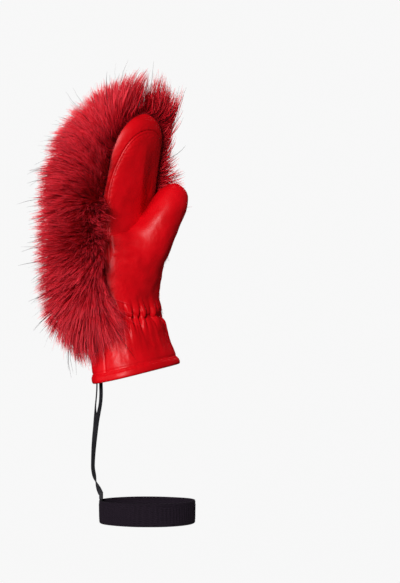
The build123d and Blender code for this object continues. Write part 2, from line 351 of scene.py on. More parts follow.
class Nodes:
    """A material's node tree, built by short calls."""

    def __init__(self, name):
        self.material = bpy.data.materials.new(name)
        self.material.use_nodes = True
        self.tree = self.material.node_tree
        self.shader = self.tree.nodes["Principled BSDF"]

    def add(self, kind, values=None, **settings):
        node = self.tree.nodes.new("ShaderNode" + kind)
        for key, value in settings.items():
            setattr(node, key, value)
        for key, value in (values or {}).items():
            node.inputs[key].default_value = value
        return node

    def link(self, source, output, target, entry):
        self.tree.links.new(source.outputs[output], target.inputs[entry])

    def set(self, **values):
        for key, value in values.items():
            self.shader.inputs[key.replace("_", " ")].default_value = value

    def ramp(self, source, output, stops):
        node = self.add("ValToRGB")
        elements = node.color_ramp.elements
        while len(elements) < len(stops):
            elements.new(0.5)
        for element, (place, colour) in zip(elements, stops):
            element.position = place
            element.color = (*colour, 1)
        self.link(source, output, node, "Fac")
        return node

    def mix(self, first, second, factor, blend="MIX"):
        """Two colours mixed. Such a node's colours are its inputs 6 and 7, and its output 2."""
        node = self.add("Mix", {"Factor": factor}, data_type="RGBA", blend_type=blend)
        self.link(*first, node, 6)
        self.link(*second, node, 7)
        return node

    def bump(self, source, output, strength, distance, below=None):
        node = self.add("Bump", {"Strength": strength, "Distance": distance})
        self.link(source, output, node, "Height")
        if below:
            self.link(below, "Normal", node, "Normal")
        return node

    def surface(self, tint, raised, **values):
        """The material, with its colour, its relief and the shader's own numbers set."""
        self.link(tint, "Color", self.shader, "Base Color")
        self.link(raised, "Normal", self.shader, "Normal")
        self.set(**values)
        return self.material


def leather_material(name, dark, light):
    """Smooth nappa: soft mottling, a fine pebbled grain, and roughness that varies a little."""
    m = Nodes(name)
    place = m.add("TexCoord")
    cloud = m.add("TexNoise", {"Scale": 38.0, "Detail": 4.0, "Roughness": 0.55})
    grain = m.add("TexVoronoi", {"Scale": 900.0}, feature="SMOOTH_F1")
    crease = m.add("TexNoise", {"Scale": 170.0, "Detail": 6.0, "Roughness": 0.65, "Distortion": 0.6})
    for texture in (cloud, grain, crease):
        m.link(place, "Object", texture, "Vector")
    tint = m.ramp(cloud, "Fac", [(0.3, dark), (0.7, light)])
    rough = m.add("MapRange", {"From Min": 0.3, "From Max": 0.7, "To Min": 0.36, "To Max": 0.48})
    m.link(crease, "Fac", rough, "Value")
    m.link(rough, "Result", m.shader, "Roughness")
    pebbles = m.bump(grain, "Distance", 0.16, 0.00035)
    creased = m.bump(crease, "Fac", 0.22, 0.0007, pebbles)
    return m.surface(tint, creased, Specular_IOR_Level=0.19)


def fur_material(name, along, shades, rough=0.55):
    """Hair whose UV map says which shade it has (across) and how far along the hair a point is (up)."""
    m = Nodes(name)
    uv = m.add("UVMap", uv_map=HAIR_UV)
    split = m.add("SeparateXYZ")
    m.link(uv, "UV", split, "Vector")
    length = m.ramp(split, "Y", along)
    shade = m.ramp(split, "X", shades)
    both = m.mix((length, "Color"), (shade, "Color"), 1.0, "MULTIPLY")
    m.link(both, 2, m.shader, "Base Color")
    m.set(Roughness=rough, Specular_IOR_Level=0.18)
    return m.material


def woven_material(name, dark, light, scale, bump, rough, sheen=0.1, shine=0.25):
    """A woven or ribbed textile: fine bands crossed by slanting ones, with a little fuzz."""
    m = Nodes(name)
    place = m.add("TexCoord")
    ribs = m.add("TexWave", {"Scale": scale, "Distortion": 0.4, "Detail": 1.0}, bands_direction="Z")
    cross = m.add("TexWave", {"Scale": scale, "Distortion": 0.6, "Detail": 1.0}, bands_direction="DIAGONAL")
    fuzz = m.add("TexNoise", {"Scale": 600.0, "Detail": 4.0})
    for texture in (ribs, cross, fuzz):
        m.link(place, "Object", texture, "Vector")
    mixed = m.mix((ribs, "Color"), (cross, "Color"), 0.45)
    worn = m.mix((mixed, 2), (fuzz, "Color"), 0.35)
    tint = m.ramp(worn, 2, [(0.25, dark), (0.75, light)])
    raised = m.bump(worn, 2, bump, 0.0005)
    values = {"Specular_IOR_Level": shine, "Sheen_Weight": sheen, "Sheen_Roughness": 0.5}
    return m.surface(tint, raised, Roughness=rough, **values)


def plastic_material(name, colour):
    m = Nodes(name)
    place = m.add("TexCoord")
    grain = m.add("TexNoise", {"Scale": 900.0, "Detail": 3.0})
    m.link(place, "Object", grain, "Vector")
    tint = m.ramp(grain, "Fac", [(0.3, tuple(0.8 * c for c in colour)), (0.7, colour)])
    return m.surface(tint, m.bump(grain, "Fac", 0.15, 0.0002), Roughness=0.38)


HAIR_UV = "OFBake"  # the UV map that the hair's shades are laid out in
RED_LEATHER = leather_material("red_leather", (0.53, 0.0004, 0.0035), (0.64, 0.0008, 0.0055))
# dark and light colours, scale of the bands, strength of the relief, roughness, sheen, shine
FLEECE = woven_material("black_fleece", (0.008, 0.008, 0.009), (0.035, 0.033, 0.038), 260.0, 0.8, 0.9)
BATTING = woven_material("batting", (0.55, 0.53, 0.48), (0.82, 0.8, 0.74), 120.0, 0.6, 0.9)
GROSGRAIN = woven_material("black_grosgrain", (0.006, 0.006, 0.008), (0.030, 0.028, 0.034),
                           420.0, 0.6, 0.55, 0.05)
ELASTIC = woven_material("black_elastic", (0.006, 0.004, 0.007), (0.018, 0.011, 0.019),
                         330.0, 0.8, 0.8, 0.02, 0.08)
WHITE_ELASTIC = woven_material("white_elastic", (0.5, 0.48, 0.44), (0.78, 0.76, 0.7), 330.0, 0.8, 0.8)
BACKING = woven_material("fur_backing", (0.16, 0.001, 0.004), (0.32, 0.003, 0.009), 240.0, 0.7, 0.95, 0.0)
PLASTIC = plastic_material("black_plastic", (0.02, 0.02, 0.022))
# a hair's colour from root to tip, and the shades from hair to hair. The top coat's dark roots and bright tips
# are painted shade in the coat's depth and painted light on its outside
TOP_COAT = fur_material(
    "fur_top_coat",
    [(0.0, (0.36, 0.002, 0.008)), (0.3, (0.50, 0.004, 0.011)),
     (0.7, (0.66, 0.009, 0.020)), (1.0, (0.86, 0.048, 0.072))],
    [(0.0, (0.66, 0.60, 0.62)), (0.5, (0.87, 0.84, 0.85)), (1.0, (1.0, 1.0, 1.0))],
)
# the under coat's dark roots and lighter tips are painted shade in the coat's depth and painted light on its
# outside too
UNDER_COAT = fur_material(
    "fur_under_coat",
    [(0.0, (0.40, 0.002, 0.009)), (0.6, (0.58, 0.004, 0.013)), (1.0, (0.74, 0.007, 0.020))],
    [(0.0, (0.5, 0.5, 0.5)), (1.0, (1.0, 1.0, 1.0))],
)
GUARD_HAIR = fur_material(
    "fur_guard_hair",
    [(0.0, (0.03, 0.002, 0.004)), (1.0, (0.012, 0.004, 0.006))],
    [(0.0, (0.6, 0.6, 0.6)), (1.0, (1.0, 1.0, 1.0))],
    0.4,
)

# ---- sheets with two sides ----


def slab(outer, inner, wrap=False, cap=False):
    """Points and faces of a closed sheet between two grids: both sides, and strips along the open edges."""
    rows, columns = outer.shape[:2]
    count = rows * columns
    points = np.concatenate([outer.reshape(-1, 3), inner.reshape(-1, 3)])
    faces = [grid_faces(rows, columns, wrap), grid_faces(rows, columns, wrap, first=count)[:, ::-1]]
    edges = [np.arange(columns)[::-1], np.arange(columns) + (rows - 1) * columns]
    if wrap:
        edges = [np.append(edge, edge[0]) for edge in edges]
    else:
        edges += [np.arange(rows) * columns, (np.arange(rows) * columns + columns - 1)[::-1]]
    polygons = []
    if cap:
        last = edges.pop(1)[:-1]
        polygons = [last.tolist(), (last[::-1] + count).tolist()]
    for edge in edges:
        a, b = edge[:-1], edge[1:]
        faces.append(np.stack([a, b, b + count, a + count], axis=-1)[:, ::-1])
    return points, np.concatenate(faces), polygons


def slab_object(name, outer, inner, material, wrap=False, cap=False, drop=None):
    """A closed sheet as an object, without the faces whose middle the drop test finds."""
    points, quads, polygons = slab(outer, inner, wrap, cap)
    if drop is not None:
        quads = quads[~drop(points[quads].mean(axis=1))]
    loops = quads.ravel().tolist() + [i for polygon in polygons for i in polygon]
    totals = [4] * len(quads) + [len(polygon) for polygon in polygons]
    if drop is not None:
        used, loops = np.unique(loops, return_inverse=True)
        points = points[used]
    return link_mesh(name, points, loops, totals, material)


def get_vectors(mesh, what):
    vectors = np.empty(len(mesh.vertices) * 3, np.float32)
    mesh.vertices.foreach_get(what, vectors)
    return vectors.reshape(-1, 3).astype(float)


def get_points(mesh):
    return get_vectors(mesh, "co") / MM


def set_points(mesh, points):
    mesh.vertices.foreach_set("co", (points * MM).astype(np.float32).ravel())
    mesh.update()


def apply_modifiers(obj):
    """Puts the result of the object's modifiers in its mesh."""
    graph = bpy.context.evaluated_depsgraph_get()
    mesh = bpy.data.meshes.new_from_object(obj.evaluated_get(graph))
    old = obj.data
    obj.modifiers.clear()
    obj.data = mesh
    bpy.data.meshes.remove(old)
    mesh.name = obj.name
    mesh.polygons.foreach_set("use_smooth", np.ones(len(mesh.polygons), bool))


def soften(obj, steps, weights=None):
    """Smooths a mesh, only where the weights say so if they are given."""
    smooth = obj.modifiers.new("smooth", "SMOOTH")
    smooth.factor, smooth.iterations = 0.5, steps
    if weights is not None:
        group = obj.vertex_groups.new(name="soften")
        for i, weight in enumerate(weights.tolist()):
            if weight > 0.01:
                group.add([i], weight, "REPLACE")
        smooth.vertex_group = "soften"
    apply_modifiers(obj)
    obj.vertex_groups.clear()


def near_line(points, line):
    """How far each point is from a polyline, and how far along it the nearest place is, from 0 to 1."""
    dense = catmull_rom(np.array(line), 24)
    tree = make_tree(dense)
    found = [tree.find(p) for p in points.tolist()]
    return np.array([f[2] for f in found]), np.array([f[1] for f in found]) / (len(dense) - 1)


# ---- the thumb's form, as in the CAD ----

# centre, half width, half thickness
THUMB = np.array([
    (9, 12, 98, 22, 18),
    (13, 0, 124, 26, 22),
    (19, -11, 148, 23.5, 21),
    (27, -18.5, 168, 19.5, 18),
    (33.5, -22.5, 182, 16.5, 15.5),
    (37, -24.5, 190.5, 11, 10.5),
    (38.5, -25.3, 194, 5, 5),
    (38.9, -25.5, 194.8, 0.6, 0.6),
])
THUMB_CURVE = catmull_rom(THUMB, 10)
THUMB_ACROSS = np.array([1, 0.35, 0])


def thumb_frames():
    """Along, across and outward directions of the thumb's sections."""
    along = unit(np.gradient(THUMB_CURVE[:, :3], axis=0))
    across = unit(THUMB_ACROSS - along * (along @ THUMB_ACROSS)[:, None])
    return along, across, np.cross(along, across)


def thumb_tube(out, columns):
    """A grid of points on the thumb, moved out by a distance."""
    _, across, outward = thumb_frames()
    angle = around(columns)[None, :, None]
    wide = np.maximum(THUMB_CURVE[:, 3] + out, 0.3)[:, None, None]
    deep = np.maximum(THUMB_CURVE[:, 4] + out, 0.3)[:, None, None]
    centre = THUMB_CURVE[:, None, :3]
    return centre + wide * np.cos(angle) * across[:, None] + deep * np.sin(angle) * outward[:, None]


def by_thumb(points):
    """Half sizes of the thumb's section nearest to each point, and how far along, across and out it lies."""
    index = nearest(make_tree(THUMB_CURVE[:, :3]), points)
    away = points - THUMB_CURVE[index, :3]
    return THUMB_CURVE[index, 3:], *((away * direction[index]).sum(1) for direction in thumb_frames())


def thumb_distance(points):
    """About how far points are outside the thumb."""
    half, ahead, u, v = by_thumb(points.reshape(-1, 3))
    beside = (np.hypot(u / half[:, 0], v / half[:, 1]) - 1) * half.mean(axis=1)
    ahead = np.maximum(np.abs(ahead) - 3, 0)
    return np.where(ahead > 0, np.hypot(np.maximum(beside, 0), ahead), beside).reshape(points.shape[:-1])


def inside_thumb(points, inset):
    """Whether points are inside the thumb, its surface moved in by a distance."""
    half, ahead, u, v = by_thumb(points)
    half = np.maximum(half - inset, 0.1)
    return ((u / half[:, 0]) ** 2 + (v / half[:, 1]) ** 2 < 1) & (np.abs(ahead) < 6)


def inside_form(points, inset):
    """Whether points are inside the hand form, its surface moved in by a distance."""
    y, slope = spine(points[:, 2])
    size = np.hypot(1, slope)
    z = points[:, 2] + (points[:, 1] - y) * slope / size**2
    y, slope = spine(z)
    a, b = form_size(z)
    back = (points[:, 1] - y) * np.hypot(1, slope)
    across = np.abs(points[:, 0]) / np.maximum(a - inset, 0.1)
    return across**SQUARE + np.abs(back / np.maximum(b - inset, 0.1)) ** SQUARE < 1


# ---- pieces ----


def blend_fingers(obj):
    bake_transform(obj)


def blend_thumb(obj):
    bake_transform(obj)


TIP = FORM[-1, 0]
LEATHER = 1.4  # the leather's thickness


def rows_to(low, high, count):
    """Heights from low to high, closer together toward the fingertip."""
    quarter = np.pi / 2 * 0.98
    return low + (high - low) * np.sin(np.linspace(0, 1, count) * quarter) / math.sin(quarter)


def leather_waves(points, large, small):
    """Soft dents, shallow folds and fine wrinkles."""
    fine = np.abs(noise_at(points, 5.2, 8.0)) * (0.5 + noise_at(points, 18, 6.5))
    return large * noise_at(points, 30, 2.0) + small * noise_at(points, 11, 5.0) - 0.55 * small * fine


def leather_sheet(name, z, angle, out):
    """A sheet of leather over the form, its outside out from it."""
    return slab_object(name, on_form(z, angle, out), on_form(z, angle, out - LEATHER), RED_LEATHER)


SHORT = np.array([1, 1, 1.6])  # what noise is stretched by so that puckers are short along the seam


def side_leather():
    """The side band: up one side, over the fingertip and down the other, sunk under the palm panel."""
    z = rows_to(70, TIP, 170)[:, None]
    angle = np.radians(np.linspace(-204, 24, 190))[None, :]
    distance = seam_distance(z, angle)
    out = rolled_edge(np.abs(distance), 1.1, 2.0) - 1.2 * smoothstep(0, 3, distance)
    flat = on_form(z, angle)
    out = out + leather_waves(flat, 0.5, 0.25) * smoothstep(0, 12, -distance) * smoothstep(TIP, TIP - 12, z)
    pucker = 0.35 * noise_at(flat * SHORT, 3.4, 1.0) * bell(distance + 2.5, 2.5)
    out = out + pucker * smoothstep(TIP, TIP - 6, z)
    obj = leather_sheet("side_band_leather", z, angle, out)
    blend_fingers(obj)
    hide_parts("side_band_outer", "side_band_thumb_side", "side_band_fingers")


def finger_palm():
    """The palm panel above the thumb's crotch, up to the seam's arch at the fingertip."""
    heights = np.linspace(240, TIP, 2000)
    top = heights[np.argmin(np.abs(form_size(heights)[1] - seam_depth(heights) - 0.15))]
    z = rows_to(136, top, 150)[:, None]
    edge = np.arcsin(np.clip((seam_depth(z) / form_size(z)[1]) ** (SQUARE / 2), 0, 1))
    across = np.sin(np.linspace(-1, 1, 120) * np.pi / 2 * 0.97) / math.sin(np.pi / 2 * 0.97)
    angle = -np.pi / 2 + across[None, :] * (np.pi / 2 - edge)
    distance = seam_distance(z, angle)
    flat = on_form(z, angle)
    inward = smoothstep(0, 9, distance)
    from_ridge = flat[..., 0] + 1 + 0.1 * (flat[..., 2] - 200)
    slope = np.where(from_ridge > 0, 8.0, 15.0)
    ridge = 3.2 * np.exp(-np.hypot(from_ridge, 1.5) / slope) * smoothstep(254, 228, z)
    ridge = ridge - 2.2 * bell(from_ridge - 17, 9.0) * bell(z - 198, 26.0)
    out = 0.2 + rolled_edge(distance, 4.2, 3.2) + (leather_waves(flat, 1.2, 0.6) + ridge) * inward
    out = out + 0.4 * noise_at(flat * SHORT, 3.6, 4.0) * bell(distance - 2.2, 2.4)
    obj = leather_sheet("finger_palm_leather", z, angle, out)
    blend_fingers(obj)
    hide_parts("palm_panel_fingers")


HEEL_LOW, HEEL_TOP = 54.5, 164.0
HEEL_SUNK = 6.0  # how far inside the form the heel's edges end
VOXEL = 2.2
CLOTH_FRAMES = 20
CLOTH_REACH = 2.5  # the furthest that a point may move in the cloth simulation


def heel_sides():
    """The lower palm's outside and inside: it puffs out over the finger panel, and fills in round the thumb."""
    z = np.linspace(HEEL_LOW, HEEL_TOP, 70)[:, None]
    angle = np.radians(np.linspace(-192, 12, 120))[None, :]
    distance = seam_distance(z, angle)
    seam = smoothstep(100, 136, z)
    puff = 0.3 + 4.7 * smoothstep(88, 140, z) * smoothstep(2, 34, distance)
    fillet = 9.5 * np.exp(-np.maximum(thumb_distance(on_form(z, angle, 3.0)), 0) / 13.0)
    fillet = fillet * smoothstep(HEEL_LOW, HEEL_LOW + 35, z) * smoothstep(0.21, -0.35, angle)
    lip = HEEL_TOP - 15 * smoothstep(8, -20, on_form(z, angle)[..., 0])
    edge = round_edge(lip - z, 9.0) * round_edge(z - HEEL_LOW, 5.0)
    on_hand = np.where(np.cos(angle) < 0, 1.0, 0.0)
    side = 1 - seam * on_hand * (1 - round_edge(distance, 5.0))
    inner = on_form(z, angle, np.full_like(distance, -HEEL_SUNK - 2.5))
    return on_form(z, angle, (HEEL_SUNK + puff + fillet) * edge * side - HEEL_SUNK), inner


def heel_and_thumb():
    """The lower palm and the thumb in one skin, with the gathers at the wrist and the creases of use."""
    points, quads, _ = slab(*heel_sides())
    tube = thumb_tube(1.0, 48)
    loops, totals = tube_faces(*tube.shape[:2], len(points), 1)
    points = np.concatenate([points, tube.reshape(-1, 3)])
    loops, totals = quads.ravel().tolist() + loops, [4] * len(quads) + totals
    obj = link_mesh("heel_and_thumb_leather", points, loops, totals, RED_LEATHER)
    remesh = obj.modifiers.new("remesh", "REMESH")
    remesh.mode = "VOXEL"
    remesh.voxel_size = VOXEL * MM
    apply_modifiers(obj)
    soften(obj, 4)
    points = get_points(obj.data)
    joint = bell(thumb_distance(points), 9.0) * smoothstep(168, 150, points[:, 2])
    soften(obj, 70, joint)
    inflate(obj)
    obj.modifiers.new("subdivide", "SUBSURF").levels = 1
    apply_modifiers(obj)
    points, normals = get_points(obj.data), get_vectors(obj.data, "normal")
    heel = heel_angles(points)
    gathers = pleats(points[:, 2], heel) * smoothstep(90, 64, points[:, 2]) * 1.5
    gathers = np.maximum(gathers, DEEPEST + 0.1) * (~inside_form(points, 2.5))
    push = gathers + leather_waves(points, 1.1, 0.8)
    # each crease sinks in, with a soft roll beside it
    for line, depth, width in CREASES:
        away, along = near_line(points, line)
        ends_fade = np.sin(np.pi * np.clip(along, 0.02, 0.98)) ** 0.5
        push = push - depth * ends_fade * bell(away, width)
        push = push + 0.45 * depth * ends_fade * bell(away - 2.2 * width, 1.2 * width)
    set_points(obj.data, points + normals * push[:, None])
    blend_thumb(obj)
    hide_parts("palm_panel", "thumb_gusset", "thumb_inner_panel", "thumb_outer_panel")


def heel_angles(points):
    """The form's angle at points near it."""
    a, b = form_size(points[:, 2])
    return np.arctan2((points[:, 1] - spine(points[:, 2])[0]) / b, points[:, 0] / a)


def inflate(obj):
    """Blows the skin up as cloth, keeps its edges still, and caps how far a point may move."""
    start = get_points(obj.data)
    still = obj.vertex_groups.new(name="still")
    z = start[:, 2]
    held = inside_form(start, 1.0) | (z < HEEL_LOW + 4)
    still.add(np.flatnonzero(held).tolist(), 1.0, "REPLACE")
    cloth = obj.modifiers.new("cloth", "CLOTH")
    settings = cloth.settings
    settings.use_pressure = True
    settings.uniform_pressure_force = 4.0
    settings.vertex_group_mass = "still"
    settings.effector_weights.gravity = 0
    settings.tension_stiffness = settings.compression_stiffness = 12
    settings.bending_stiffness = 0.3
    settings.quality = 5
    cloth.point_cache.frame_start, cloth.point_cache.frame_end = 1, CLOTH_FRAMES
    for step in range(1, CLOTH_FRAMES + 1):
        scene.frame_set(step)
    apply_modifiers(obj)
    scene.frame_set(1)
    moved = get_points(obj.data) - start
    far = np.linalg.norm(moved, axis=1, keepdims=True)
    set_points(obj.data, start + moved * np.minimum(1, CLOTH_REACH / np.maximum(far, 1e-6)))
    soften(obj, 2)


def on_hand_line(*places):
    """Points on the form, each given by its height, its angle in degrees and how far out it is."""
    return [on_form(z, math.radians(angle), out).tolist() for z, angle, out in places]


# where the leather creases at the thumb's root and across the heel, and each crease's depth and half width
CREASES = [
    (on_hand_line((133, -118, 5), (131, -104, 6), (130, -92, 7), (132, -80, 8)), 0.8, 2.6),
    (on_hand_line((122, -140, 4), (119, -126, 5), (118, -112, 6), (119, -98, 7)), 0.7, 2.6),
    (on_hand_line((108, -120, 3), (103, -104, 4), (100, -90, 5)), 0.6, 3.0),
]

CUFF_SIDE_SEAM = 0.2  # the side seams lean back by this much


def cuff_leather():
    """The gathered wrist and the flared cuff below it, down to the hem."""
    z = np.linspace(7.5, 66, 96)[:, None]
    angle = around(420)[None, :]
    flat = on_form(z, angle)
    out = pleats(z, angle) * smoothstep(8, 26, z) ** 0.6 - 2.0 * smoothstep(60, 66, z)
    out = out + leather_waves(flat, 1.5, 0.7) * smoothstep(8, 20, z)
    tuck = 0.5 * np.abs(noise_at(flat * np.array([1, 1, 0.25]), 2.6, 7.0)) + 0.5
    out = out - tuck * bell(z - 9.2, 1.3)
    from_seam = flat[..., 1] - CUFF_SIDE_SEAM * flat[..., 2]
    out = out - 1.5 * bell(from_seam, 1.5) * smoothstep(60, 52, z)
    inner = on_form(z, angle, np.minimum(out - 1.2, -1.4))
    obj = slab_object("cuff_leather", hang(on_form(z, angle, out)), hang(inner), RED_LEATHER, wrap=True)
    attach(obj, "hand")
    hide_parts("cuff_palm_panel", "cuff_back_panel")


def ring_of_section(name, material, middle, half, power, columns, rows, ripple):
    """A ring round the form. Its section is a rounded box: its middle and half sizes are up, then outward."""
    turn, angle = around(rows)[:, None], around(columns)[None, :]
    c, s = np.cos(turn), np.sin(turn)
    z = middle[0] + half[0] * signed_power(s, 2 / power) + 0 * angle
    out = middle[1] + half[1] * signed_power(c, 2 / power)
    out = out + ripple(z, angle, c)
    points = hang(on_form(z, angle, out))
    return grid_object(name, points, material, round_columns=True, round_rows=True, flip=True)


def hem():
    """The turned hem: a rounded band sewn round the cuff's mouth, with small puckers along its stitching."""
    def ripple(z, angle, outward):
        flat = on_form(z, angle)
        soft = 0.35 * noise_at(flat * np.array([1, 1, 0.5]), 14, 1.5)
        pucker = 0.4 * noise_at(flat * np.array([1, 1, 0.4]), 3.2, 9.0) * smoothstep(3.0, 8.0, z)
        return (soft + pucker - 0.5 * bell(z - 7.0, 0.7)) * smoothstep(0, 0.5, outward)

    obj = ring_of_section("hem_leather", RED_LEATHER, (4.3, -1.8), (4.3, 3.0), 2.7, 420, 40, ripple)
    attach(obj, "hand")
    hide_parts("hem_binding")


def wrist_elastic():
    """The covered elastic that gathers the wrist, with its own fine ribs."""
    def ripple(z, angle, outward):
        return 0.35 * np.sin(angle * 90) * smoothstep(0, 0.4, np.abs(outward)) + 0.15 * np.sin(z * 2.4)

    middle, half = (ELASTIC_MID, -6.0), (4.6, 0.9)
    obj = ring_of_section("wrist_elastic_band", WHITE_ELASTIC, middle, half, 4.0, 720, 28, ripple)
    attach(obj, "hand")
    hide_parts("wrist_elastic")


def sock(name, material, low, high, inset, thick, ripple, thumb_inset):
    """A layer inside the mitten, closed at the fingertip. Its thumb hole is the thumb, moved in a little."""
    rows, columns = 150, 200
    z = np.linspace(low, high, rows)[:, None]
    angle = around(columns)[None, :]
    out = -inset(z) + ripple(z, angle)
    outer, inner = hang(on_form(z, angle, out)), hang(on_form(z, angle, out - thick))

    def at_thumb(points):
        return inside_thumb(points, thumb_inset) & (points[:, 1] < spine(points[:, 2])[0] - 2)

    return slab_object(name, outer, inner, material, True, True, at_thumb)


def thumb_sock(name, material, inset, thick, hand_inset):
    """A layer inside the thumb, open where it meets the hand form, moved in a little."""
    outer, inner = thumb_tube(-inset, 96), thumb_tube(-inset - thick, 96)
    keep = THUMB_CURVE[:, 4] > inset + thick + 0.6
    outer, inner = outer[keep], inner[keep]
    dents = 0.25 * noise_at(outer, 9, 3.3)[..., None]
    outer = outer + dents * unit(outer - THUMB_CURVE[keep][:, None, :3])
    return slab_object(name, outer, inner, material, True, True, lambda p: inside_form(p, hand_inset))


FLEECE_THICK = 1.3


def inner_layers():
    """The padding under the leather, quilted across, and the fleece inside it."""
    def fleece_ripple(z, angle):
        return 0.35 * noise_at(on_form(z, angle), 12, 6.0)

    def quilting(z, angle):
        channel = np.abs(np.sin(np.pi * (z - ELASTIC_HIGH) / 26))
        return 0.6 * (channel**0.5 - 1) + 0.2 * noise_at(on_form(z, angle), 14, 2.2)

    lining_end = FORM_CURVE[FORM_CURVE[:, 2] > 9.4][-1, 0]
    lining = sock("lining_sock", FLEECE, 3.0, lining_end,
                  lambda z: 3.6 + 3.3 * smoothstep(30, 62, z), FLEECE_THICK, fleece_ripple, 7.5)
    blend_fingers(lining)
    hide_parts("lining_hand", "lining_fingers", "cuff_lining")

    padding_end = FORM_CURVE[FORM_CURVE[:, 2] > 8.0][-1, 0]
    padding = sock("insulation_sock", BATTING, ELASTIC_HIGH + 4, padding_end,
                   lambda z: 2.6 + 3.2 * smoothstep(82, 66, z), 3.4, quilting, 4.0)
    blend_fingers(padding)
    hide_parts("insulation_hand", "insulation_fingers")

    thumb_lining = thumb_sock("thumb_lining_sock", FLEECE, 6.2, FLEECE_THICK, 5.5)
    blend_thumb(thumb_lining)
    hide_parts("lining_thumb")

    thumb_padding = thumb_sock("thumb_insulation_sock", BATTING, 2.6, 3.0, 4.0)
    blend_thumb(thumb_padding)
    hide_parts("insulation_thumb")


# ---- fur ----

# the pile's outside: height, centre in Y, half width, half thickness
PILE = np.array([
    (4, 10, 50, 42),
    (13, 12, 53, 45),
    (30, 17, 70, 61),
    (55, 20, 83, 73),
    (85, 21, 87, 77),
    (140, 22, 88, 79),
    (205, 20, 86, 77),
    (246, 17, 75, 65),
    (273, 10, 62, 50),
    (290, -2, 53, 43),
    (300, -8, 40, 33),
    (307, -12, 24, 19),
    (312, -14, 5, 4),
])
FUR_LOW = 57.0
# heights of a hair's root and tip: it falls at the wrist, stands out over the hand and rises at the fingertip
FALL = np.array([
    (57, 8), (64, 20), (76, 46), (100, 88), (150, 148), (200, 206),
    (235, 254), (252, 284), (262, 299), (265, 306), (266.5, 311),
])


def fur_backing():
    """The knitted cloth that the hairs stand on."""
    z = rows_to(FUR_LOW, TIP, 110)[:, None]
    angle = fur_edge(z) + (np.pi - 2 * fur_edge(z)) * np.linspace(0, 1, 150)[None, :]
    out = 0.3 + 0.4 * noise_at(on_form(z, angle), 6, 2.0)
    obj = slab_object("fur_backing", on_form(z, angle, out + 0.9), on_form(z, angle, out - 0.6), BACKING)
    blend_fingers(obj)
    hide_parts("fur_back", "fur_back_fingers")


def fur_edge(z):
    """The angle of the fur's seam: it runs beside the palm's, and drops back behind the fingertip."""
    return np.radians(np.interp(z, [205, 250], [-27, -13]))


def scatter(count, rng):
    """Heights and angles of roots: over the whole back, closer together at the seams and the fingertip."""
    z = rng.uniform(FUR_LOW, TIP - 0.1, count * 3)
    wide, deep = form_size(z)
    thicker = 1 + 1.2 * smoothstep(225, 255, z) + 7 * smoothstep(255, 265, z)
    z = z[rng.uniform(0, 75, len(z)) < (wide + deep) * thicker][:count]
    share = rng.uniform(0, 1, len(z))
    pick = rng.uniform(0, 1, len(z))
    # some of the hairs are moved to the strips beside the two seams
    share = np.where(pick < 0.12, 0.13 * share, np.where(pick > 0.86, 1 - 0.16 * share, share))
    return z, fur_edge(z) + (np.pi - 2 * fur_edge(z)) * share


def edge_share(z, angle):
    """1 at the fur's seam and 0 well inside it."""
    return smoothstep(0.6, 0.0, np.minimum(angle - fur_edge(z), np.pi - fur_edge(z) - angle))


def hair_frame(z, angle, rng):
    """Root, outward direction and full tip of hairs. At the seam they lean over the leather, some more."""
    root = on_form(z, angle, 0.4)
    normal = unit(on_form(z, angle, 6.0) - root)
    calm = 1 - smoothstep(240, 262, z)  # drifting tips would part the coat over the fingertip
    drift, swirl = noise_at(root, 26, 4.4) * calm, noise_at(root, 34, 9.1) * calm
    edge, thumb_side = edge_share(z, angle), np.cos(angle) > 0
    height = np.interp(z, FALL[:, 0], FALL[:, 1]) + 9 * drift
    turn = angle + 0.16 * swirl
    wide, deep, middle = (np.interp(height, PILE[:, 0], PILE[:, i]) for i in (2, 3, 1))
    # the coat is shorter on the thumb's side, and leans to the palm at its seams
    narrow = np.where(thumb_side, 1 - 0.27 * smoothstep(252, 234, z) - 0.38 * smoothstep(165, 105, z), 1)
    forward = edge * rng.uniform(-4, 18, len(z)) * np.where(thumb_side, smoothstep(130, 190, z), 1)
    across = 1.05 * wide * np.cos(turn) * narrow + 10 * smoothstep(262, 302, height)
    tip = np.stack([across, middle + 1.06 * deep * np.sin(turn) - forward, height], axis=1)
    # at the wrist the hairs by the seam fall over the leather instead
    low = z - rng.uniform(4, 52, len(z)) + 12 * drift
    over = on_form(np.clip(low, 14, 110), angle + 0.2 + rng.uniform(0.1, 0.75, len(z)) * edge, 9.0)
    wrist = edge * smoothstep(116, 74, z) * np.where(thumb_side, 0, rng.uniform(0.4, 1.0, len(z)))
    return root, normal, tip + (over - tip) * wrist[:, None]


def tufts(count, rng):
    """Places that hairs lean together at: a tree of their roots, and their tips."""
    root, _, tip = hair_frame(*scatter(count, rng), rng)
    return make_tree(root), tip + rng.normal(0, 2.5, tip.shape)


FAR = np.array([94.0, 104.0, 322.0])  # the tips that pass these places are drawn back to them
BIG_PULL, SMALL_PULL = 0.35, 0.68  # how far a hair's tip goes to its tufts' tips
TUFT_TURN = 12.9898  # gives each tuft its own angle for how long it is


